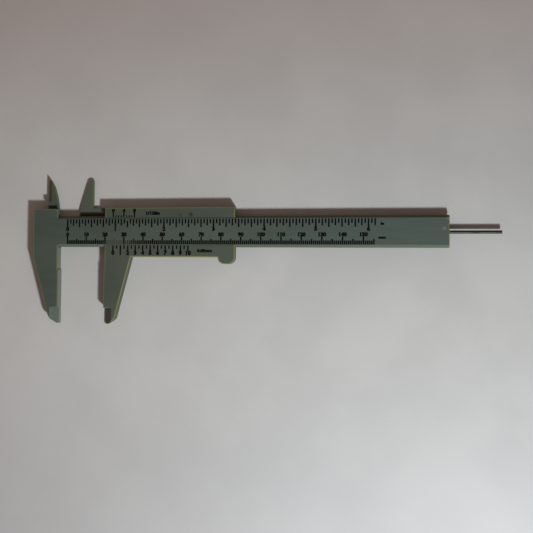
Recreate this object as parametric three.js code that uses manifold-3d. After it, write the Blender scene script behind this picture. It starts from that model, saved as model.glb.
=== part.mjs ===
// A plastic vernier caliper for 150 mm, lying on its back with the slider part open.
// Three separate pieces: the main beam with the fixed jaws, the slider with the moving
// jaws, and the steel depth rod that the slider pushes out of the beam's end.
import * as THREE from 'three';
import { mergeVertices } from 'three/addons/utils/BufferGeometryUtils.js';
import Module from 'manifold-3d';

const wasm = await Module();
wasm.setup();

// Lengths are in millimetres. X runs along the beam from the zero line of the main scale,
// Y across it from the beam's centre line, and Z up from the face that it lies on.

// Shared sizes
const thickness = 4.4; // the head, the slider and the jaws, from back to front
const restReading = 24.3; // what the caliper reads as it lies here
const runningGap = 0.3; // clearance round whatever slides or plugs in
const overrun = 2; // how far a cutting shape runs past what it cuts
const joinOverlap = 0.5; // how far shapes of one moulding reach into each other

// Beam
const beamEnd = 190.5; // from the zero line to the free end
const beamFrontWidth = 13.1; // the flat front that carries the scales
const beamWidth = 15.7; // over the slanted guide edges
const beamThickness = 2.7;
const guideDrop = 1.2; // how far the guide edges slope down from the front
const endChamferWidth = 0.7;
const endChamferDrop = 0.5;

// Outer jaws, fixed and moving
const zeroToOuterFace = 4.95; // each outer face lies this far behind its own zero line
const faceRelief = 0.5; // the jaws step back above their measuring pads
const padStart = 19.5; // the pads begin this far below the centre line
const jawReach = 47.1; // from the centre line to the jaw tips
const tipBevelLength = 8.1; // the knife edges at the tips
const tipBevelWidth = 4.4;
const tipEdgeThickness = 0.9;

// Head, with the fixed outer jaw
const headWidth = 13.2;
const headTop = 11.65; // above the centre line
const headShoulder = 12.8; // below the centre line, where the jaw begins to taper
const fixedTipWidth = 5.5; // where the tip's slanted corner begins
const fixedTipCorner = 4.4; // how far above the tip that is
const fixedTipShoulderWidth = 4.4; // halfway down the corner
const fixedTipShoulder = 2.4;
const fixedTipFlat = 1.5; // the blunt end of the tip

// Inside blades, fixed and moving
const zeroToInsideEdge = 11.5; // each measuring edge lies this far behind its zero line
const bladeReach = 26.7; // from the centre line to the blade tips
const fixedBladeThickness = 1.7;
const fixedBladeTipWidth = 1.4;
const fixedBladeEdgeThickness = 0.1; // what the bevel leaves at the measuring edge
const fixedBladeBevelWidth = 2.1;
const fixedBladeBevelRise = 4; // from the head's top to where the bevel begins
const rootRecessRise = 1.95; // the sunk web between the head and the blade
const rootWebThickness = 0.8;
const rootRibWidth = 1; // the rib that closes the recess on the jaw's side

// Slider
const sliderLength = 67.15; // the part that holds the beam
const sliderTop = 12.15; // above the centre line
const sliderBottom = 12.85; // below it
const jawRootWidth = 14.25; // where the moving jaw leaves the slider
const movingTipWidth = 5.85;
const movingTipCorner = 2.7;
const movingTipShoulderWidth = 4.7;
const movingTipShoulder = 1.6;
const movingTipFlat = 2.1;
const thumbPadWidth = 8.6;
const thumbPadDrop = 3.4;

// Arm behind the beam, with the moving inside blade
const armReach = 19.1; // from the moving zero line to the arm's left end
const armBottom = 2.5; // above the centre line
const bladeCurveStart = 10; // where the arm's end starts to lean into the blade
const movingBladeTipWidth = 1.6;
const movingBladeShoulderWidth = 2.75; // just below the tip's slanted corner
const movingBladeShoulderDrop = 0.9;
const movingBladeBevelWidth = 1.1;
const movingBladeBevelDrop = 0.4;
const movingBladeBackBevelWidth = 0.8;
const movingBladeBevelRise = 0.6; // from the slider's top to where the bevels begin

// Depth rod
const rodDiameter = 1.6;
const rodOffset = -0.3; // the rod lies a little below the centre line
const rodHookPosition = 8; // from the moving zero line to the bent end in the slider
const rodHookRecess = 0.2; // the bent end stops this far inside the slider's back
const rodSides = 20;

// Where the two blade curves are pulled to, as shares of their width and height
const fixedCurvePullShares = [0.81, 0.73];
const movingCurvePullShares = [0.32, 0.56];
const curveSteps = 10;

// Places that follow from the sizes
const beamBack = thickness - beamThickness;
const backPlateThickness = beamBack - runningGap; // the slider's plate behind the beam
const fixedBladeFront = beamBack + fixedBladeThickness;
const guideFoot = thickness - guideDrop;
const fixedFace = -zeroToOuterFace;
const headRight = fixedFace - faceRelief;
const headLeft = headRight - headWidth;
const movingFace = -zeroToOuterFace;
const sliderLeft = movingFace + faceRelief;
const sliderRight = sliderLeft + sliderLength;
const rodRadius = rodDiameter / 2;
const rodHeight = beamBack + rodRadius;

// Materials
const headPlastic = { color: 0x59635a, roughness: 0.5, metalness: 0 };
const sliderPlastic = { color: 0x5c6459, roughness: 0.55, metalness: 0 };
const steel = { color: 0xb4b6b6, roughness: 0.3, metalness: 1 };

// Turns a three.js geometry into a solid that can be joined and cut.
function solidOf(geometry) {
  const bare = geometry.index ? geometry.toNonIndexed() : geometry.clone();
  bare.deleteAttribute('normal');
  bare.deleteAttribute('uv');
  const merged = mergeVertices(bare);
  const vertProperties = new Float32Array(merged.attributes.position.array);
  const triVerts = new Uint32Array(merged.index.array);
  return new wasm.Manifold(new wasm.Mesh({ numProp: 3, vertProperties, triVerts }));
}

// Turns a solid back into a named mesh.
function meshOf(name, solid, finish) {
  const { vertProperties, triVerts } = solid.getMesh();
  const geometry = new THREE.BufferGeometry();
  geometry.setAttribute('position', new THREE.BufferAttribute(vertProperties, 3));
  geometry.setIndex(new THREE.BufferAttribute(triVerts, 1));
  geometry.computeVertexNormals();
  const mesh = new THREE.Mesh(geometry, new THREE.MeshStandardMaterial({ ...finish, flatShading: true }));
  mesh.name = name;
  return mesh;
}

function outlineOf(points) {
  return new THREE.Shape(points.map(([across, up]) => new THREE.Vector2(across, up)));
}

// An outline seen from the front, given its height between two levels.
function plate(shape, low, high) {
  const settings = { depth: high - low, bevelEnabled: false, curveSegments: curveSteps };
  return solidOf(new THREE.ExtrudeGeometry(shape, settings).translate(0, 0, low));
}

// An outline in Y and Z, drawn along X.
function alongX(points, from, to) {
  const geometry = new THREE.ExtrudeGeometry(outlineOf(points), { depth: to - from, bevelEnabled: false });
  const turn = new THREE.Matrix4().makeBasis(
    new THREE.Vector3(0, 1, 0),
    new THREE.Vector3(0, 0, 1),
    new THREE.Vector3(1, 0, 0),
  );
  return solidOf(geometry.applyMatrix4(turn).translate(from, 0, 0));
}

function block(x, y, z) {
  const geometry = new THREE.BoxGeometry(x[1] - x[0], y[1] - y[0], z[1] - z[0]);
  return solidOf(geometry.translate((x[0] + x[1]) / 2, (y[0] + y[1]) / 2, (z[0] + z[1]) / 2));
}

// What a slanting cut from point a to point b takes away, both in X and Z. The slant is
// carried on by its own length at both ends.
function slantCut(a, b, from, to) {
  const run = [b[0] - a[0], b[1] - a[1]];
  const start = [a[0] - run[0], a[1] - run[1]];
  const end = [b[0] + run[0], b[1] + run[1]];
  const triangle = outlineOf([start, end, [end[0], start[1]]]);
  const geometry = new THREE.ExtrudeGeometry(triangle, { depth: to - from, bevelEnabled: false });
  return solidOf(geometry.rotateX(Math.PI / 2).translate(0, to, 0));
}

// The knife edge of an outer jaw: the front slopes down to the measuring face at the tip.
function tipBevel(face, side) {
  const high = [face + side * tipBevelWidth, thickness];
  const low = [face, tipEdgeThickness];
  return slantCut(high, low, -jawReach - overrun, tipBevelLength - jawReach);
}

function rodAlongX(radius, from, to) {
  const geometry = new THREE.CylinderGeometry(radius, radius, to - from, rodSides);
  return geometry.rotateZ(Math.PI / 2).translate((from + to) / 2, rodOffset, rodHeight);
}

function rodUpright(radius, x, low, high) {
  const geometry = new THREE.CylinderGeometry(radius, radius, high - low, rodSides);
  return geometry.rotateX(Math.PI / 2).translate(x, rodOffset, (low + high) / 2);
}

// Beam: a flat bar with slanted guide edges and a groove in its back for the depth rod.
function beamSolid() {
  const front = beamFrontWidth / 2;
  const side = beamWidth / 2;
  const section = [
    [-side, beamBack],
    [side, beamBack],
    [side, guideFoot],
    [front, thickness],
    [-front, thickness],
    [-side, guideFoot],
  ];
  const grooveHalf = rodRadius + runningGap;
  const groove = block(
    [rodHookPosition - rodRadius - runningGap, beamEnd + overrun],
    [rodOffset - grooveHalf, rodOffset + grooveHalf],
    [beamBack - overrun, beamBack + rodDiameter + runningGap],
  );
  const chamferHigh = [beamEnd - endChamferWidth, thickness];
  const chamferLow = [beamEnd, thickness - endChamferDrop];
  return alongX(section, headRight - joinOverlap, beamEnd)
    .subtract(groove)
    .subtract(slantCut(chamferHigh, chamferLow, -side - overrun, side + overrun));
}

// Head: the block at the closed end, drawn out below into the fixed outer jaw. Its upper
// back is cut away, so that the slider's arm can pass behind it.
function headSolid() {
  const outline = outlineOf([
    [headLeft, headTop],
    [headLeft, -headShoulder],
    [fixedFace - fixedTipWidth, fixedTipCorner - jawReach],
    [fixedFace - fixedTipShoulderWidth, fixedTipShoulder - jawReach],
    [fixedFace - fixedTipFlat, -jawReach],
    [fixedFace, -jawReach],
    [fixedFace, -padStart],
    [headRight, -padStart],
    [headRight, headTop],
  ]);
  const armPocket = block(
    [headLeft - overrun, headRight + overrun],
    [armBottom - runningGap, headTop + overrun],
    [-overrun, beamBack],
  );
  return plate(outline, 0, thickness).subtract(armPocket).subtract(tipBevel(fixedFace, -1));
}

// Fixed inside blade: a thin tooth on the head's top, bevelled to its measuring edge. It
// stands clear of the lower layer, where the slider's blade passes behind it.
function fixedBladeSolid() {
  const edge = -zeroToInsideEdge;
  const width = headRight - edge;
  const height = bladeReach - headTop;
  const [pullAcross, pullUp] = fixedCurvePullShares;
  const shape = new THREE.Shape();
  shape.moveTo(edge, headTop - joinOverlap);
  shape.lineTo(headRight, headTop - joinOverlap);
  shape.lineTo(headRight, headTop);
  shape.quadraticCurveTo(
    edge + width * pullAcross,
    headTop + height * pullUp,
    edge + fixedBladeTipWidth,
    bladeReach,
  );
  shape.lineTo(edge, bladeReach);
  const recess = block(
    [edge - overrun, headRight - rootRibWidth],
    [headTop, headTop + rootRecessRise],
    [beamBack + rootWebThickness, thickness],
  );
  const bevelHigh = [edge + fixedBladeBevelWidth, fixedBladeFront];
  const bevelLow = [edge, beamBack + fixedBladeEdgeThickness];
  const bevelStart = headTop + fixedBladeBevelRise;
  return plate(shape, beamBack, fixedBladeFront)
    .subtract(recess)
    .subtract(slantCut(bevelHigh, bevelLow, bevelStart, bladeReach + overrun));
}

// Slider body: a plate behind the beam with a rail on each side, the thumb pad and the
// moving outer jaw. The channel between the rails is the beam's section with a running gap.
function sliderBodySolid() {
  const padLeft = sliderRight - thumbPadWidth;
  const padBottom = -sliderBottom - thumbPadDrop;
  const shape = new THREE.Shape();
  shape.moveTo(sliderLeft, sliderTop);
  shape.lineTo(sliderLeft, -padStart);
  shape.lineTo(movingFace, -padStart);
  shape.lineTo(movingFace, -jawReach);
  shape.lineTo(movingFace + movingTipFlat, -jawReach);
  shape.lineTo(movingFace + movingTipShoulderWidth, movingTipShoulder - jawReach);
  shape.lineTo(movingFace + movingTipWidth, movingTipCorner - jawReach);
  shape.lineTo(movingFace + jawRootWidth, -sliderBottom);
  shape.lineTo(padLeft, -sliderBottom);
  shape.absarc(padLeft + thumbPadDrop, -sliderBottom, thumbPadDrop, Math.PI, Math.PI * 1.5, false);
  shape.lineTo(sliderRight - thumbPadDrop, padBottom);
  shape.absarc(sliderRight - thumbPadDrop, -sliderBottom, thumbPadDrop, -Math.PI / 2, 0, false);
  shape.lineTo(sliderRight, sliderTop);
  const front = beamFrontWidth / 2 + runningGap;
  const side = beamWidth / 2 + runningGap;
  const channel = [
    [-side, backPlateThickness],
    [side, backPlateThickness],
    [side, guideFoot],
    [front, thickness],
    [front, thickness + overrun],
    [-front, thickness + overrun],
    [-front, thickness],
    [-side, guideFoot],
  ];
  return plate(shape, 0, thickness)
    .subtract(alongX(channel, sliderLeft - overrun, sliderRight + overrun))
    .subtract(tipBevel(movingFace, 1));
}

// Arm and moving inside blade: a thin layer level with the slider's back plate, reaching
// out behind the beam and up into a blade with a knife edge.
function armSolid() {
  const edge = -zeroToInsideEdge;
  const width = armReach - zeroToInsideEdge;
  const shoulder = bladeReach - movingBladeShoulderDrop;
  const height = shoulder - bladeCurveStart;
  const [pullAcross, pullUp] = movingCurvePullShares;
  const shape = new THREE.Shape();
  shape.moveTo(sliderLeft + joinOverlap, armBottom);
  shape.lineTo(sliderLeft + joinOverlap, sliderTop);
  shape.lineTo(edge, sliderTop);
  shape.lineTo(edge, bladeReach);
  shape.lineTo(edge - movingBladeTipWidth, bladeReach);
  shape.lineTo(edge - movingBladeShoulderWidth, shoulder);
  shape.quadraticCurveTo(
    -armReach + width * pullAcross,
    bladeCurveStart + height * pullUp,
    -armReach,
    bladeCurveStart,
  );
  shape.lineTo(-armReach, armBottom);
  const edgeHeight = backPlateThickness - movingBladeBevelDrop;
  const frontHigh = [edge - movingBladeBevelWidth, backPlateThickness];
  const backFoot = [edge - movingBladeBackBevelWidth, 0];
  const bevelStart = sliderTop + movingBladeBevelRise;
  const top = bladeReach + overrun;
  return plate(shape, 0, backPlateThickness)
    .subtract(slantCut(frontHigh, [edge, edgeHeight], bevelStart, top))
    .subtract(slantCut(backFoot, [edge, edgeHeight], bevelStart, top));
}

function mainBeam() {
  return meshOf('main_beam', beamSolid().add(headSolid()).add(fixedBladeSolid()), headPlastic);
}

function slider() {
  const hookHole = rodUpright(rodRadius + runningGap, rodHookPosition, -overrun, thickness);
  const solid = sliderBodySolid().add(armSolid()).subtract(solidOf(hookHole));
  return meshOf('slider', solid, sliderPlastic);
}

// Depth rod: a straight steel wire in the beam's groove, level with the beam's end when
// the jaws are closed, and bent down at its other end into a hole in the slider's plate.
function depthRod() {
  const straight = rodAlongX(rodRadius, rodHookPosition, beamEnd);
  const hook = rodUpright(rodRadius, rodHookPosition, rodHookRecess, rodHeight);
  const elbow = new THREE.SphereGeometry(rodRadius, rodSides, rodSides / 2)
    .rotateX(Math.PI / 2)
    .translate(rodHookPosition, rodOffset, rodHeight);
  return meshOf('depth_rod', solidOf(straight).add(solidOf(hook)).add(solidOf(elbow)), steel);
}

// All that moves is drawn from its own zero line and set at the reading.
const moving = new THREE.Group();
moving.add(slider(), depthRod());
moving.position.x = restReading;

// The origin lies on the table, under the middle of the whole caliper.
const caliper = new THREE.Group();
caliper.add(mainBeam(), moving);
caliper.position.set(-(headLeft + beamEnd + restReading) / 2, (jawReach - bladeReach) / 2, 0);

export default caliper;
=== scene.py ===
# %% [markdown]
# # A plastic vernier caliper
# A vernier caliper measures a thing between two jaws. One pair of jaws belongs to a long flat
# beam that carries the scales, the other to a slider that runs along it. This one is moulded in
# dark grey-green plastic, with a steel wire as its depth rod. The solids come from CAD, packed as
# a frame. Blender adds what CAD leaves out: softened edges, printed ink, and finishes with grain,
# scratches, wear and some painted light and shade. The frame is loaded first.

import math

import bpy
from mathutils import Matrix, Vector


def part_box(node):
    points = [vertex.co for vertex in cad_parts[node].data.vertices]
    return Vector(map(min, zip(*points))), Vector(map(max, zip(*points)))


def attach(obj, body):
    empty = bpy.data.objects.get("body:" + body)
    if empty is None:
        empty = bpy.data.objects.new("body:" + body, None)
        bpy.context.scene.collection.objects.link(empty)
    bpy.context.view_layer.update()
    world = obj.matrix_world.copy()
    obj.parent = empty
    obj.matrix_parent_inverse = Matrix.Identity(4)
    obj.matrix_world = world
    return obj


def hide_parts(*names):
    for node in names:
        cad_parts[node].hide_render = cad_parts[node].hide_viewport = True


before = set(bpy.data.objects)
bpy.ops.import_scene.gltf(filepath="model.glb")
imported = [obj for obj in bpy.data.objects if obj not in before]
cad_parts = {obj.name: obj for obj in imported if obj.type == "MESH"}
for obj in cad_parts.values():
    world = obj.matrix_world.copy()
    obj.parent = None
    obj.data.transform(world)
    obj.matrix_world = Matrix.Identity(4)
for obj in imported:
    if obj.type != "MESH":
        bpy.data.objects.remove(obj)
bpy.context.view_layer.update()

# %% [markdown]
# ## Places
# A maker reads a caliper from its lines, so places here are in millimetres from the zero line
# and from the beam's centre line. The frame has its own origin, so the zero lines are found from
# the nodes' boxes: the head's left end lies a known length before the beam's zero line, and the
# slider's arm a known length before the vernier's. The centre line lies a known length below the
# tip of the fixed blade.

# %% Zero lines, centre line and front face
MM = 0.001
HEAD_BEFORE_ZERO = 18.65 * MM
ARM_BEFORE_ZERO = 19.1 * MM
BLADE_ABOVE_CENTRE = 26.7 * MM

beam_low, beam_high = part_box("main_beam")
slider_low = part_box("slider")[0]
BEAM_ZERO = beam_low.x + HEAD_BEFORE_ZERO
SLIDER_ZERO = slider_low.x + ARM_BEFORE_ZERO
CENTRE = beam_high.y - BLADE_ABOVE_CENTRE
FRONT = beam_high.z


def from_zero(x, y, z):
    """A place in millimetres from the beam's zero line, its centre line and the table."""
    return (BEAM_ZERO + x * MM, CENTRE + y * MM, z * MM)


print("reading", round((SLIDER_ZERO - BEAM_ZERO) / MM, 2), "mm")
print("front face at", round(FRONT / MM, 2), "mm")

# %% [markdown]
# ## Camera
# The photograph was taken by hand from about 300 mm above the table, a little right of the
# middle, leaning a few degrees. The place and the turns were found by fitting a camera to the
# printed lines, whose spacing is known, so they are typed in here as they came out. The focal
# length came out in pixels of a picture that is 533 pixels wide.

# %% Set the camera
PICTURE_PIXELS = 533
FOCAL_PIXELS = 606.3
SENSOR = 36.0  # width in millimetres
CAMERA_PLACE = (139.52, -22.29, 300.33)  # millimetres
CAMERA_TURNS = (1.009, 7.032, 0.492)  # degrees about x, y and z
NEAREST_SEEN = 10 * MM

camera_data = bpy.data.cameras.new("camera")
camera_data.sensor_width = SENSOR
camera_data.lens = FOCAL_PIXELS * SENSOR / PICTURE_PIXELS
camera_data.clip_start = NEAREST_SEEN
camera = bpy.data.objects.new("camera", camera_data)
camera.location = from_zero(*CAMERA_PLACE)
camera.rotation_euler = [math.radians(turn) for turn in CAMERA_TURNS]
bpy.context.scene.collection.objects.link(camera)
bpy.context.scene.camera = camera
print("lens", round(camera_data.lens, 2), "mm")

# %% [markdown]
# ## Light
# The shadows in the photograph lie up and to the left, and they fan out: one lamp stands close,
# at the lower right. Its place follows from where the corners' shadows fall. A small round lamp
# gives their fairly crisp edges. Real light fades with the square of the distance, which would
# make the right end twice as bright as the left. The photographed table fades less, so a Light
# Falloff node lets this lamp fade with the distance itself. A dim warm sky fills the shadows. It
# is brighter at its rim than overhead, as in a room with pale walls and a dark ceiling, and the
# depth rod shows that, because it mirrors the ceiling as a dark stripe.

# %% Place the lamp and the sky
LAMP_PLACE = (240, -232, 203)  # millimetres
LAMP_RADIUS = 20 * MM
LAMP_POWER = 16.2  # watts, at Blender's own scale
LAMP_COLOUR = (0.92, 1.0, 1.0)
SKY_RIM = (0.45, 0.34, 0.29, 1)
SKY_TOP = (0.08, 0.058, 0.05, 1)
RIM_UP_TO, TOP_FROM = 0.3, 0.9  # sine of the angle above level

lamp_data = bpy.data.lights.new("key_lamp", "POINT")
lamp_data.shadow_soft_size = LAMP_RADIUS
lamp_data.energy = LAMP_POWER
lamp_data.color = LAMP_COLOUR
lamp_data.use_nodes = True
lamp_nodes, lamp_links = lamp_data.node_tree.nodes, lamp_data.node_tree.links
fade = lamp_nodes.new("ShaderNodeLightFalloff")
fade.inputs["Strength"].default_value = 1
lamp_links.new(fade.outputs["Linear"], lamp_nodes["Emission"].inputs["Strength"])
key_lamp = bpy.data.objects.new("key_lamp", lamp_data)
key_lamp.location = from_zero(*LAMP_PLACE)
bpy.context.scene.collection.objects.link(key_lamp)

world = bpy.data.worlds.new("room")
world.use_nodes = True
bpy.context.scene.world = world
sky_nodes, sky_links = world.node_tree.nodes, world.node_tree.links
direction = sky_nodes.new("ShaderNodeTexCoord")
height = sky_nodes.new("ShaderNodeSeparateXYZ")
ramp = sky_nodes.new("ShaderNodeValToRGB")
rim_stop, top_stop = ramp.color_ramp.elements
rim_stop.position, rim_stop.color = RIM_UP_TO, SKY_RIM
top_stop.position, top_stop.color = TOP_FROM, SKY_TOP
sky_links.new(direction.outputs["Generated"], height.inputs["Vector"])
sky_links.new(height.outputs["Z"], ramp.inputs["Fac"])
sky_links.new(ramp.outputs["Color"], sky_nodes["Background"].inputs["Color"])
bpy.context.scene.view_settings.view_transform = "Standard"
print("lamp at", [round(value / MM) for value in key_lamp.location], "mm")

# %% [markdown]
# ## Shader tools
# A finish is a small sum: colour is plastic here, rubbed plastic there, and a mask says which.
# Wiring such a sum node by node hides it, so one class wraps a socket and lets Python's own
# signs add the Math nodes. `1 - mask` then reads as it does on paper. A second class holds one
# material and adds every other node through a single method, which takes the node's type, its
# settings and what its sockets hold. Places inside a finish are in millimetres from a zero line
# and the centre line, so that a stain or a worn stretch can be put where the photograph has it.

# %% A socket that works in Python sums, and a material that adds its own nodes
class Wire:
    """A node's output that can stand in a sum."""

    def __init__(self, finish, socket):
        self.finish, self.socket = finish, socket

    def sum_with(self, sign, first, second):
        return self.finish.add("ShaderNodeMath", {"operation": sign}, {0: first, 1: second})

    def __add__(self, other):
        return self.sum_with("ADD", self, other)

    def __sub__(self, other):
        return self.sum_with("SUBTRACT", self, other)

    def __rsub__(self, other):
        return self.sum_with("SUBTRACT", other, self)

    def __mul__(self, other):
        return self.sum_with("MULTIPLY", self, other)

    def __pow__(self, other):
        return self.sum_with("POWER", self, other)

    __radd__ = __add__
    __rmul__ = __mul__


class Finish:
    """One material, with places in millimetres from a zero line, the centre line and the table."""

    def __init__(self, name, zero):
        self.material = bpy.data.materials.new(name)
        self.material.use_nodes = True
        self.tree = self.material.node_tree
        self.surface = self.tree.nodes["Principled BSDF"]
        place = self.add("ShaderNodeTexCoord", output="Object")
        to_zero = {"Location": (-zero / MM, -CENTRE / MM, 0), "Scale": (1 / MM, 1 / MM, 1 / MM)}
        self.place = self.add("ShaderNodeMapping", {}, {"Vector": place, **to_zero})
        self.x, self.y, self.z = (
            self.add("ShaderNodeSeparateXYZ", {}, {0: self.place}, output=axis) for axis in "XYZ"
        )

    def add(self, kind, settings=None, inputs=None, output=0):
        """Adds a node, with its settings and what its sockets hold, and gives one output."""
        node = self.tree.nodes.new(kind)
        for name, value in (settings or {}).items():
            setattr(node, name, value)
        for socket, value in (inputs or {}).items():
            if isinstance(value, Wire):
                self.tree.links.new(value.socket, node.inputs[socket])
            else:
                node.inputs[socket].default_value = value
        return Wire(self, node.outputs[output])

    def noise(self, size, detail=2, stretch=(1, 1, 1), shift=0):
        """Soft spots of about this size in millimetres, drawn out along the stretched axes."""
        flow = {"Scale": [1 / (size * part) for part in stretch], "Location": (shift, shift, shift)}
        place = self.add("ShaderNodeMapping", {}, {"Vector": self.place, **flow})
        return self.add("ShaderNodeTexNoise", {}, {"Vector": place, "Scale": 1, "Detail": detail})

    def rise(self, value, low, high):
        """0 below low, 1 above high, and a smooth rise between."""
        ends = {"Value": value, "From Min": low, "From Max": high}
        return self.add("ShaderNodeMapRange", {"interpolation_type": "SMOOTHSTEP"}, ends)

    def spot(self, x, y, radius, edge):
        """1 inside a round spot at x, y and 0 outside it."""
        across, up = self.x - x, self.y - y
        away = (across * across + up * up) ** 0.5
        return 1 - self.rise(away, radius - edge, radius + edge)

    def blend(self, factor, first, second):
        """The first colour where the factor is 0, and the second where it is 1."""
        colours = {0: factor, 6: first, 7: second}
        return self.add("ShaderNodeMix", {"data_type": "RGBA"}, colours, output=2)

    def bump(self, relief, depth):
        """Turns a height from 0 to 1 into a relief this many millimetres deep."""
        ends = {"Height": relief, "Distance": depth * MM, "Strength": 1}
        return self.add("ShaderNodeBump", {}, ends)

    def dress(self, **values):
        """Sets or links the surface's sockets, with _ for each space, and gives the material."""
        for name, value in values.items():
            socket = self.surface.inputs[name.replace("_", " ")]
            if isinstance(value, Wire):
                self.tree.links.new(value.socket, socket)
            else:
                socket.default_value = value
        print("finish", self.material.name, "with", len(self.tree.nodes), "nodes")
        return self.material


# %% [markdown]
# ## Tones
# Each tone was found by trial: it was changed until the rendered surface looked as it does in the
# photograph. Tones are written as a picture shows them, from 0 to 255, because that is how they
# are seen, and turned into the linear numbers that light is reckoned in.

# %% Name the tones
def paint(red, green, blue):
    """A colour as a picture shows it, 0 to 255, as the linear numbers that shaders use."""
    parts = [value / 255 for value in (red, green, blue)]
    linear = [part / 12.92 if part <= 0.04045 else ((part + 0.055) / 1.055) ** 2.4 for part in parts]
    return linear + [1]


# The table's pale and dark ends and its warm and cool tints are painted light and shade.
TABLE_PALE, TABLE_DARK = paint(198, 196, 195), paint(168, 167, 167)
TABLE_WARM, TABLE_COOL = paint(176, 162, 160), paint(158, 156, 162)
TABLE_GRAIN = paint(150, 149, 148)

BEAM_DEEP, BEAM_LIGHT = paint(66, 75, 66), paint(79, 87, 78)
SLIDER_DEEP, SLIDER_LIGHT = paint(65, 73, 63), paint(76, 84, 74)
RIM_DEEP, RIM_LIGHT = paint(102, 99, 66), paint(118, 114, 78)
OLIVE_WALL = paint(60, 61, 46)
PALE_RUB = paint(112, 114, 98)

# The measuring face's pale tone is a painted highlight.
FREE_END, STREAK, MEASURING_FACE_HIGHLIGHT = paint(65, 77, 71), paint(66, 86, 82), paint(104, 112, 100)
GUIDE_AT_HEAD, GUIDE_AT_END = paint(89, 100, 82), paint(64, 72, 46)
UPPER_GUIDE, END_FACE, BLADE = paint(86, 80, 46), paint(98, 92, 56), paint(88, 88, 54)
STAIN, PALE_DOT = paint(110, 104, 60), paint(130, 138, 126)
GREEN_RIM = paint(82, 91, 76)

# The knife edge's tone is a painted highlight, and the darkest tone below is painted shade for the
# crevice beside the beam.
ARM, KNIFE_EDGE_HIGHLIGHT, MOVING_TIP = paint(80, 88, 78), paint(98, 98, 64), paint(92, 90, 60)
CREVICE_SHADE, SMUDGE = paint(22, 20, 16), paint(38, 40, 34)

STEEL, DULL_STEEL = paint(60, 58, 56), paint(48, 46, 43)
BLACK_INK = paint(5, 6, 6)
UNDER_SCALE, UNDER_VERNIER = paint(76, 83, 73), paint(72, 77, 64)
print("a middle grey of 128 is", round(paint(128, 128, 128)[0], 3), "in linear numbers")

# %% [markdown]
# ## Table
# The caliper lies on a pale, matt table top. A plane is enough for its shape. Its finish has
# broad soft clouds and a fine grain, because a table top that is one even grey looks like a
# cut-out. Its tone is paler on the left, warmer at the far side and cooler at the near side,
# because under this lamp an even one comes out otherwise than in the photograph. These tone
# gradients are painted light and shade, not the table's own colour.

# %% Lay the table
TABLE_SIDE = 4
SPECK_DEPTH = 0.02  # millimetres

bpy.ops.object.select_all(action="DESELECT")
bpy.ops.mesh.primitive_plane_add(size=TABLE_SIDE, location=(0, 0, 0))
table = bpy.context.object
table.name = "table"
table_finish = Finish("table_top", BEAM_ZERO)
clouds = table_finish.noise(45, detail=3)
specks = table_finish.noise(1.2)
# Painted light and shade: darker towards the right, warmer at the far side, cooler at the near side.
to_right = table_finish.rise(table_finish.x, -80, 260)
painted_light_and_clouds = to_right * 0.8 + table_finish.rise(clouds, 0.35, 0.65) * 0.2
table_colour = table_finish.blend(painted_light_and_clouds, TABLE_PALE, TABLE_DARK)
far_side = table_finish.rise(table_finish.y, 20, 130)
near_side = 1 - table_finish.rise(table_finish.y, -140, -20)
table_colour = table_finish.blend(far_side * 0.55, table_colour, TABLE_WARM)
table_colour = table_finish.blend(near_side * 0.45, table_colour, TABLE_COOL)
table_grain = table_finish.rise(table_finish.noise(0.8, detail=3, shift=2), 0.35, 0.65)
table_colour = table_finish.blend(table_grain * 0.1, table_colour, TABLE_GRAIN)
table.data.materials.append(
    table_finish.dress(
        Base_Color=table_colour,
        Roughness=specks * 0.1 + 0.6,
        Specular_IOR_Level=0.2,
        Normal=table_finish.bump(specks, SPECK_DEPTH),
    )
)

# %% [markdown]
# ## Moulded plastic
# Both mouldings are the same dark plastic, but they look different in the photograph: the beam
# is cooler and streaked where the slider has polished it, and the slider is more olive. Walls and
# lower faces, below the front face, are tinted darker and more olive, and the slider's arm is
# painted near black beside the beam, as painted shade in that crevice. Each colour drifts slowly
# over the surface, as pigment does in a cheap moulding. The grain is a fine bump. Long hair
# scratches run along the beam, because the slider drags dust along it, and a few short ones lie
# across. Rims are painted paler, partly as rubbed wear and partly as a painted highlight along
# each edge, and they get a finish of their own. What only one moulding has comes from a function
# of marks, which is handed to the common recipe.

# %% Mix the plastics
WALL_TOP = (3.7, 4.3)  # millimetres up, where a wall's tone gives way to the face's
GRAIN_DEPTH = 0.012  # millimetres


def plastic(name, zero, deep, light, scratch_share, marks):
    """Moulded plastic from deep to light, with scratches and the marks of one moulding."""
    finish = Finish(name, zero)
    drift = finish.rise(finish.noise(22, detail=3, stretch=(2, 1, 1)), 0.3, 0.7)
    grain = finish.noise(0.35, detail=3)
    mottle = finish.noise(2.2, detail=3, shift=5)
    scratches = finish.rise(finish.noise(0.16, stretch=(90, 1, 1), shift=3), 0.62, 0.74)
    nicks = finish.rise(finish.noise(0.2, detail=1, stretch=(1, 30, 1), shift=9), 0.72, 0.8)
    rubs = scratches * scratch_share + nicks * 0.3
    colour = finish.blend(drift * 0.7 + mottle * 0.3, deep, light)
    # Everything below the front face is tinted darker and more olive.
    walls = 1 - finish.rise(finish.z, *WALL_TOP)
    colour = finish.blend(walls * 0.35, colour, OLIVE_WALL)
    colour = marks(finish, colour)
    colour = finish.blend(rubs * 0.25, colour, PALE_RUB)
    relief = grain * 0.5 + drift * 0.5 - rubs * 0.4
    return finish.dress(
        Base_Color=colour,
        Roughness=0.5 + mottle * 0.14 - rubs * 0.12,
        Specular_IOR_Level=0.35,
        Normal=finish.bump(relief, GRAIN_DEPTH),
    )


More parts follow.
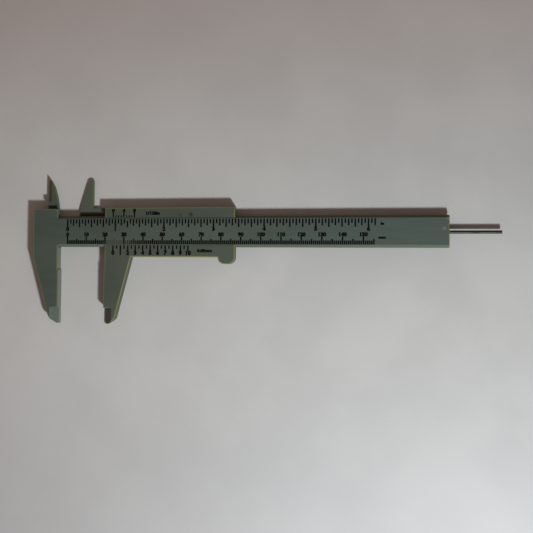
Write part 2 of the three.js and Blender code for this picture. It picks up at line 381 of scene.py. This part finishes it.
def beam_marks(finish, colour):
    """A cool free end, streaks, a painted highlight on the measuring face, stains and a pale dot.

    The guides, the end face and the blade have tones of their own.
    """
    colour = finish.blend(finish.rise(finish.x, 40, 190) * 0.8, colour, FREE_END)
    streaks = finish.rise(finish.noise(1.3, detail=3, stretch=(14, 1, 1), shift=11), 0.42, 0.64)
    colour = finish.blend(streaks * 0.4, colour, STREAK)
    # Painted highlight: the fixed jaw's measuring face is painted pale, as where the lamp lights it.
    face = finish.rise(finish.x, -5.7, -5.4) * (1 - finish.rise(finish.y, -8.4, -8.2))
    colour = finish.blend(face * 0.8, colour, MEASURING_FACE_HIGHLIGHT)
    past_head = finish.rise(finish.x, -4.9, -4.7)
    lower_guide = (1 - finish.rise(finish.y, -6.7, -6.5)) * past_head
    guide = finish.blend(finish.rise(finish.x, 20, 170), GUIDE_AT_HEAD, GUIDE_AT_END)
    colour = finish.blend(lower_guide * 0.45, colour, guide)
    upper_guide = finish.rise(finish.y, 6.5, 6.7) * past_head
    colour = finish.blend(upper_guide * 0.6, colour, UPPER_GUIDE)
    colour = finish.blend(finish.rise(finish.x, 189.7, 189.9) * 0.5, colour, END_FACE)
    colour = finish.blend(finish.rise(finish.y, 14, 19) * 0.35, colour, BLADE)
    stains = finish.spot(21.9, -1.2, 0.8, 0.7) * 0.3 + finish.spot(190.5, 6.6, 1.5, 0.7) * 0.6
    colour = finish.blend(stains, colour, STAIN)
    return finish.blend(finish.spot(188, 1.4, 0.7, 0.5) * 0.3, colour, PALE_DOT)


def slider_marks(finish, colour):
    """A paler arm, painted shade by the beam, a painted knife-edge highlight, an olive tip, two
    smudges.
    """
    arm = 1 - finish.rise(finish.x, -5.1, -5)
    colour = finish.blend(arm * 0.9, colour, ARM)
    # Painted highlight: the strip along the blade's knife edge is painted pale olive.
    knife_edge_highlight = arm * finish.rise(finish.x, -12.7, -12.5) * finish.rise(finish.y, 12.6, 12.8)
    colour = finish.blend(knife_edge_highlight * 0.5, colour, KNIFE_EDGE_HIGHLIGHT)
    # Painted shade: the arm is painted near black beside the beam, in the crevice that the beam
    # shades.
    grime_and_crevice_shade = arm * (1 - finish.rise(finish.y, 8.4, 10.2))
    colour = finish.blend(grime_and_crevice_shade * 0.85, colour, CREVICE_SHADE)
    tip = (1 - finish.rise(finish.y, -39.1, -38.9)) * (1 - finish.rise(finish.x, -0.7, -0.5))
    colour = finish.blend(tip * 0.4, colour, MOVING_TIP)
    smudges = finish.spot(34.9, 8.4, 0.9, 0.6) * 0.5 + finish.spot(40.2, 8.4, 1.1, 0.7)
    ragged = smudges * finish.rise(finish.noise(0.6), 0.3, 0.6)
    return finish.blend(ragged, colour, SMUDGE)


def rim_marks(finish, colour):
    """The rims beside the fixed measuring face and above its tip are greener than the rest."""
    beside_face = finish.rise(finish.x, -6.4, -6.1)
    above_tip = finish.rise(finish.x, -13, -12.6) * (1 - finish.rise(finish.y, -38.3, -38.1))
    on_head = 1 - finish.rise(finish.x, -3.5, -3)
    return finish.blend((beside_face + above_tip) * on_head * 0.75, colour, GREEN_RIM)


beam_plastic = plastic("beam_plastic", BEAM_ZERO, BEAM_DEEP, BEAM_LIGHT, 0.9, beam_marks)
slider_plastic = plastic("slider_plastic", SLIDER_ZERO, SLIDER_DEEP, SLIDER_LIGHT, 0.4, slider_marks)
# The rim finish is partly rubbed wear and partly a painted highlight along each edge.
rim_wear_and_highlight = plastic("rim_wear_and_highlight", BEAM_ZERO, RIM_DEEP, RIM_LIGHT, 0.2, rim_marks)

# %% [markdown]
# ## Mouldings with softened edges
# CAD edges are knife sharp, but a mould leaves a small radius on each, and use wears it further.
# That radius is what catches the light along every rim in the photograph. The imported solid is
# copied, its loose triangles are merged, and its flat areas are made whole again. Then the rims
# of its flat faces are looked up, where an upright wall drops away. Where the wall is high, as on
# the head, the jaws and the rails, the rim gets the full radius. The thin blades and the sunk
# back of the head get a small one, since a hand rubs them less, and steps too low for a radius
# stay sharp. The copies are first scored where a rim changes its radius or ends, just above and
# below the beam and beside the slider's arm, so that the change is short. The bevel's faces take
# the rim finish, which is rubbed wear and a painted highlight. Copying keeps every place from CAD,
# which modelling the shape again could not.

# %% Tools for one piece at a time
RIM = 0.5 * MM  # the full radius, on an outer rim
LOW_SHARE = 0.3  # the share of it on sunk rims and on rims of low walls
SQUARENESS = 0.78  # the bevel's profile, where 0.5 is round and 1 is square
BEVEL_STEPS = 4
HIGH_WALL = 2 * MM  # walls from this height on are high
LOW_WALL = 1.2 * MM  # walls from this height on are low, and lower ones keep a sharp rim
HAIR = 0.01 * MM  # a wall that stands above its rim by less than this still drops away
SUNK = 0.1 * MM  # a face this far behind the front and above the table is sunk
LEVEL = 0.95  # a face whose normal has more z than this is level
UPRIGHT = 0.2  # a face whose normal has less z than this is a wall
SAME_POINT = 0.002 * MM
SAME_PLANE = math.radians(1)
SHARP = math.radians(30)  # edges that turn more than this aren't shaded smooth


def pick_only(*pieces):
    """Selects these pieces and nothing else, with the last one active."""
    bpy.ops.object.select_all(action="DESELECT")
    for piece in pieces:
        piece.select_set(True)
    bpy.context.view_layer.objects.active = pieces[-1]


def merge_points(distance):
    """Opens the active piece with everything selected and merges points that lie this close."""
    bpy.ops.object.mode_set(mode="EDIT")
    bpy.ops.mesh.select_all(action="SELECT")
    bpy.ops.mesh.remove_doubles(threshold=distance)


def close():
    """Leaves edit mode with nothing selected."""
    bpy.ops.mesh.select_all(action="DESELECT")
    bpy.ops.object.mode_set(mode="OBJECT")


def merged_copy(node, name):
    """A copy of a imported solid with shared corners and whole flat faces."""
    piece = bpy.data.objects.new(name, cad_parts[node].data.copy())
    piece.data.name = name
    piece.data.materials.clear()
    bpy.context.scene.collection.objects.link(piece)
    pick_only(piece)
    bpy.ops.mesh.customdata_custom_splitnormals_clear()
    merge_points(SAME_POINT)
    bpy.ops.mesh.dissolve_limited(angle_limit=SAME_PLANE)
    close()
    return piece


def open_with(piece, kind, chosen):
    """Opens a piece in edit mode, where only these edges (EDGE) or faces (FACE) are selected."""
    pick_only(piece)
    bpy.ops.object.mode_set(mode="EDIT")
    bpy.ops.mesh.select_mode(type=kind)
    bpy.ops.mesh.select_all(action="DESELECT")
    bpy.ops.object.mode_set(mode="OBJECT")
    parts = {"EDGE": piece.data.edges, "FACE": piece.data.polygons}[kind]
    for index in chosen:
        parts[index].select = True
    bpy.ops.object.mode_set(mode="EDIT")


def score(piece, place, normal):
    """Cuts edges into a piece's faces along a plane, where a rim is to change its radius."""
    open_with(piece, "FACE", range(len(piece.data.polygons)))
    bpy.ops.mesh.bisect(plane_co=place, plane_no=normal)
    close()


def rim_edges(piece, low, high, room, shortest=0):
    """The rims of level faces, where a wall whose height lies between low and high drops away.

    A rim counts where its face reaches further inward than room, and is longer than shortest.
    """
    mesh = piece.data
    flats, walls = {}, {}
    for face in mesh.polygons:
        for key in face.edge_keys:
            if abs(face.normal.z) > LEVEL:
                flats[key] = face
            if abs(face.normal.z) < UPRIGHT:
                walls[key] = face
    chosen = []
    for edge in mesh.edges:
        if edge.key not in flats or edge.key not in walls:
            continue
        flat, wall = flats[edge.key], walls[edge.key]
        start, end = (mesh.vertices[i].co for i in edge.vertices)
        drops = [(mesh.vertices[i].co - start).dot(flat.normal) for i in wall.vertices]
        inward = wall.normal * -1
        reach = max((mesh.vertices[i].co - start).dot(inward) for i in flat.vertices)
        if max(drops) > HAIR or not low < -min(drops) < high:
            continue
        if reach > room and (end - start).length > shortest:
            chosen.append(edge.index)
    return chosen


def rim_shares(piece):
    """Outer rims of high walls get the whole radius, sunk rims and rims of low walls a share."""
    mesh = piece.data
    outer, small = [], rim_edges(piece, LOW_WALL, HIGH_WALL, RIM, shortest=2 * RIM)
    for index in rim_edges(piece, HIGH_WALL, math.inf, 2 * RIM):
        level = mesh.vertices[mesh.edges[index].vertices[0]].co.z
        sunk = SUNK < level < FRONT - SUNK
        (small if sunk else outer).append(index)
    return {1: outer, LOW_SHARE: small}


def soften(piece, width, weights, *finishes):
    """Bevels edges to a share of the width. Their new faces take the last finish."""
    for finish in finishes:
        piece.data.materials.append(finish)
    for share, chosen in weights.items():
        open_with(piece, "EDGE", chosen)
        bpy.ops.transform.edge_bevelweight(value=share)
        close()
    bevel = piece.modifiers.new("rim", "BEVEL")
    bevel.limit_method = "WEIGHT"
    bevel.width = width
    bevel.segments = BEVEL_STEPS
    bevel.profile = SQUARENESS
    bevel.use_clamp_overlap = False
    bevel.material = len(finishes) - 1
    bpy.ops.object.modifier_apply(modifier=bevel.name)
    bpy.ops.object.shade_smooth_by_angle(angle=SHARP)
    even = piece.modifiers.new("even_shading", "WEIGHTED_NORMAL")
    even.keep_sharp = True
    bpy.ops.object.modifier_apply(modifier=even.name)
    print(piece.name, {share: len(chosen) for share, chosen in weights.items()}, "rims softened")


# %% Main beam, with the head, the fixed jaw and the fixed blade
FRONT_HALF = 6.55 * MM

beam = merged_copy("main_beam", "beam_moulding")
for side in (-1, 1):
    score(beam, (0, CENTRE + side * (FRONT_HALF + RIM), 0), (0, 1, 0))
soften(beam, RIM, rim_shares(beam), beam_plastic, rim_wear_and_highlight)
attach(beam, "beam")
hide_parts("main_beam")

# %% Slider, with the moving jaw, the thumb pad and the arm
ARM_END_BEFORE_ZERO = 4.45 * MM

slider = merged_copy("slider", "slider_moulding")
score(slider, (SLIDER_ZERO - ARM_END_BEFORE_ZERO - 3 * RIM, 0, 0), (1, 0, 0))
soften(slider, RIM, rim_shares(slider), slider_plastic, rim_wear_and_highlight)
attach(slider, "slide")
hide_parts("slider")

# %% [markdown]
# ## Depth rod
# The rod is drawn steel wire. Drawing leaves fine lines along it, so its roughness comes from
# noise that is stretched along the wire, and a little grime dulls it in patches. Its facets are
# shaded smooth and the rim of its cut end is softened.

# %% Finish the steel wire
ROD_RIM = 0.12 * MM
DRAWN_DEPTH = 0.006  # millimetres

wire_finish = Finish("drawn_steel", BEAM_ZERO)
drawn = wire_finish.noise(0.12, detail=3, stretch=(60, 1, 1))
grime_and_crevice_shade = wire_finish.rise(wire_finish.noise(3, detail=4, shift=2), 0.45, 0.7)
steel = wire_finish.dress(
    Base_Color=wire_finish.blend(grime_and_crevice_shade, STEEL, DULL_STEEL),
    Metallic=1 - grime_and_crevice_shade * 0.25,
    Roughness=0.48 + drawn * 0.15 + grime_and_crevice_shade * 0.15,
    Normal=wire_finish.bump(drawn, DRAWN_DEPTH),
)
rod = merged_copy("depth_rod", "depth_rod_wire")
cut_end = [face for face in rod.data.polygons if face.normal.x > LEVEL]
end_keys = {key for face in cut_end for key in face.edge_keys}
end_rim = [edge.index for edge in rod.data.edges if edge.key in end_keys]
soften(rod, ROD_RIM, {1: end_rim}, steel)
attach(rod, "slide")
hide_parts("depth_rod")

# %% [markdown]
# ## Printed scales
# The lines and numerals are black ink, pressed on with a pad. An image could hold them, but real
# lines stay crisp at any distance and need no picture file. Each kind of line is modelled once,
# as a thin strip with a lower rim, and the Array modifier repeats it at the scale's pitch. A
# second Array repeats a group, as between the 5 mm lines. The ink stands 0.02 mm proud and its
# underside is sunk in the plastic, so that the two surfaces never lie in one plane.

# %% Mix the ink
INK = 0.02 * MM
CRUMB_DEPTH = 0.004  # millimetres


def ink(name, zero, plastic_tone, worn):
    """Black ink that lets the plastic show where it is worn."""
    finish = Finish(name, zero)
    patches = finish.rise(finish.noise(3.5, detail=4, stretch=(2.5, 1, 1), shift=4), 0.56, 0.72)
    crumbs = finish.rise(finish.noise(0.3, shift=7), 0.35, 0.65)
    bare = patches * 0.15 + worn(finish)
    gone = finish.rise(bare + crumbs * 0.3, 0.35, 1.1)
    return finish.dress(
        Base_Color=finish.blend(gone, BLACK_INK, plastic_tone),
        Roughness=0.45 + gone * 0.1,
        Specular_IOR_Level=0.1,
        Normal=finish.bump(crumbs, CRUMB_DEPTH),
    )


def beam_wear(finish):
    """The slider's edge has rubbed the short lines pale from 20 to 30 mm, and less up to 42.

    A chip is gone from the top of the inch line beside 31.6 mm.
    """
    stretch = finish.rise(finish.x, 20.2, 21) * (1 - finish.rise(finish.x, 26, 44))
    lower = 1 - finish.rise(finish.y, -4.2, -3.4)
    beside_thirty = finish.rise((finish.x - 30) ** 2, 0.15, 0.3)
    chip = finish.spot(31.6, 6.3, 0.9, 0.4)
    return stretch * lower * beside_thirty * 0.75 + chip


def slider_wear(finish):
    """A thumb has dulled the right end of both verniers."""
    return finish.rise(finish.x, 20, 40) * 0.12


scale_ink = ink("scale_ink", BEAM_ZERO, UNDER_SCALE, beam_wear)
vernier_ink = ink("vernier_ink", SLIDER_ZERO, UNDER_VERNIER, slider_wear)

# %% Tools for lines and words
LINE_RIM = 0.05 * MM  # the sloped border of a line
FIGURE_HEIGHT = 0.73  # a figure's height at text size 1
HEAVY = 0.085  # what the bevel adds all round at text size 1
CURVE_STEPS = 3
SAME_CORNER = 0.02 * MM


def lines(name, zero, first, y_low, y_high, width, *repeats):
    """A printed line between two heights, repeated by pairs of pitch and count.

    The first line's place, the heights, the width and the pitches are in millimetres.
    """
    bpy.ops.object.select_all(action="DESELECT")
    middle = (zero + first * MM, CENTRE + (y_low + y_high) / 2 * MM, FRONT)
    size = (width * MM, (y_high - y_low) * MM, INK)
    bpy.ops.mesh.primitive_cube_add(size=1, location=middle, scale=size)
    piece = bpy.context.object
    piece.name = name
    bpy.ops.object.transform_apply(location=True, rotation=True, scale=True)
    open_with(piece, "FACE", [face.index for face in piece.data.polygons if face.normal.z > LEVEL])
    bpy.ops.mesh.inset(thickness=LINE_RIM)
    bpy.ops.transform.translate(value=(0, 0, INK / 2))
    close()
    for pitch, count in repeats:
        row = piece.modifiers.new("row", "ARRAY")
        row.use_relative_offset = False
        row.use_constant_offset = True
        row.constant_offset_displace = (pitch * MM, 0, 0)
        row.count = count
        bpy.ops.object.modifier_apply(modifier=row.name)
    return piece


def words(text, zero, x, y, height, widen=1.08):
    """Printed characters whose figures are this tall, centred on x and standing on y.

    A bevel makes the strokes heavier. Its slope is flattened to the thickness of the ink, and
    points that crowd together in the narrow corners are merged.
    """
    bpy.ops.object.select_all(action="DESELECT")
    bpy.ops.object.text_add(location=(0, 0, 0))
    piece = bpy.context.object
    piece.data.body = text
    piece.data.align_x = "CENTER"
    piece.data.resolution_u = CURVE_STEPS
    piece.data.bevel_resolution = 0
    piece.data.bevel_depth = HEAVY
    tall = height / (FIGURE_HEIGHT + 2 * HEAVY) * MM
    bpy.ops.object.convert(target="MESH")
    piece.location = (zero + x * MM, CENTRE + y * MM + HEAVY * tall, FRONT)
    piece.scale = (tall * widen, tall, INK / HEAVY)
    bpy.ops.object.transform_apply(location=True, rotation=True, scale=True)
    merge_points(SAME_CORNER)
    close()
    return piece


def printed(name, body, finish, slot, *pieces):
    """Joins lines and words into one printed piece that rides on a body."""
    pick_only(*pieces)
    bpy.ops.object.join()
    whole = bpy.context.object
    whole.name = name
    whole.data.name = name
    whole.data.materials.clear()
    whole.data.materials.append(finish)
    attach(whole, body)
    print(name, "from", len(pieces), "parts,", len(whole.data.polygons), "faces")


ON_BEAM = ("beam", scale_ink, "beam_plastic")
ON_SLIDER = ("slide", vernier_ink, "slider_plastic")
LINE = 0.77  # width of most lines in millimetres

# %% Millimetre scale, 0 to 155 along the lower edge
FOOT, ONES_TOP, FIVES_TOP, TENS_TOP = -6.5, -4.5, -3.75, -2.6
TENS_LINE = 0.75
FIGURES, UNITS = 2.25, 1.6

printed(
    "millimetre_lines",
    *ON_BEAM,
    lines("ones", BEAM_ZERO, 1, FOOT, ONES_TOP, LINE, (1, 4), (5, 31)),
    lines("fives", BEAM_ZERO, 5, FOOT, FIVES_TOP, LINE, (10, 16)),
    lines("tens", BEAM_ZERO, 0, FOOT, TENS_TOP, TENS_LINE, (10, 16)),
)
printed(
    "millimetre_numerals",
    *ON_BEAM,
    *[words(str(value), BEAM_ZERO, value, TENS_TOP, FIGURES) for value in range(0, 151, 10)],
    words("mm", BEAM_ZERO, x=158.9, y=-3.7, height=UNITS, widen=1.25),
)

# %% Inch scale, 0 to 6 and an eighth along the upper edge
INCH = 25.4
SIXTEENTH, EIGHTH, QUARTER = INCH / 16, INCH / 8, INCH / 4
HEAD_LINE, SIXTEENTHS_FOOT, EIGHTHS_FOOT, QUARTERS_FOOT = 6.25, 3.95, 2.9, 2.1
WHOLE_LINE = 0.8
INCH_FIGURES_FOOT, INCH_FIGURES = 0.1, 2.35

printed(
    "inch_lines",
    *ON_BEAM,
    lines("sixteenths", BEAM_ZERO, SIXTEENTH, SIXTEENTHS_FOOT, HEAD_LINE, LINE, (EIGHTH, 49)),
    lines("eighths", BEAM_ZERO, EIGHTH, EIGHTHS_FOOT, HEAD_LINE, LINE, (QUARTER, 25)),
    lines("quarters", BEAM_ZERO, QUARTER, QUARTERS_FOOT, HEAD_LINE, LINE, (QUARTER, 3), (INCH, 6)),
    lines("whole_inches", BEAM_ZERO, 0, QUARTERS_FOOT, HEAD_LINE, WHOLE_LINE, (INCH, 7)),
)
printed(
    "inch_numerals",
    *ON_BEAM,
    *[
        words(str(value), BEAM_ZERO, value * INCH, INCH_FIGURES_FOOT, INCH_FIGURES)
        for value in range(7)
    ],
    words("in", BEAM_ZERO, x=159, y=3, height=UNITS, widen=1.3),
)

# %% [markdown]
# ## Verniers
# A vernier's step is a little shorter than one or two steps of its scale, so that as a rule only
# one of its lines meets a scale line. The lower one has 20 steps on 39 mm, which reads to
# 0.05 mm. The upper one has 8 steps on 7 sixteenths of an inch, which reads to 1/128 inch.

# %% Millimetre vernier on the lower rail
STEP = 39 / 20
LOWER_TOP, LONG_FOOT, SHORT_FOOT = -7.1, -9.85, -8.8
SHORT_LINE = 0.71
LOWER_FIGURES_FOOT, LOWER_FIGURES = -12, 2.4

printed(
    "millimetre_vernier",
    *ON_SLIDER,
    lines("long", SLIDER_ZERO, 0, LONG_FOOT, LOWER_TOP, LINE, (STEP * 2, 11)),
    lines("short", SLIDER_ZERO, STEP, SHORT_FOOT, LOWER_TOP, SHORT_LINE, (STEP * 2, 10)),
    *[
        words(str(value), SLIDER_ZERO, value * STEP * 2, LOWER_FIGURES_FOOT, LOWER_FIGURES)
        for value in range(11)
    ],
    words("0.05mm", SLIDER_ZERO, x=47.5, y=-10.5, height=1.8, widen=1.15),
)

# %% Inch vernier on the upper rail
INCH_STEP = 7 * SIXTEENTH / 8
FOUR_STEPS = INCH_STEP * 4
UPPER_FOOT, SHORT_TOP, LONG_TOP = 7.1, 8.2, 9.6
LONG_UPPER_LINE, SHORT_UPPER_LINE = 0.7, 0.6
UPPER_FIGURES_FOOT, UPPER_FIGURES = 9.5, 2.2

printed(
    "inch_vernier",
    *ON_SLIDER,
    lines("long", SLIDER_ZERO, 0, UPPER_FOOT, LONG_TOP, LONG_UPPER_LINE, (FOUR_STEPS, 3)),
    lines(
        "short",
        SLIDER_ZERO,
        INCH_STEP,
        UPPER_FOOT,
        SHORT_TOP,
        SHORT_UPPER_LINE,
        (INCH_STEP, 3),
        (FOUR_STEPS, 2),
    ),
    *[
        words(str(value), SLIDER_ZERO, value * INCH_STEP, UPPER_FIGURES_FOOT, UPPER_FIGURES)
        for value in (0, 4, 8)
    ],
    words("1/128in", SLIDER_ZERO, x=20.6, y=8.3, height=1.9, widen=1.2),
)
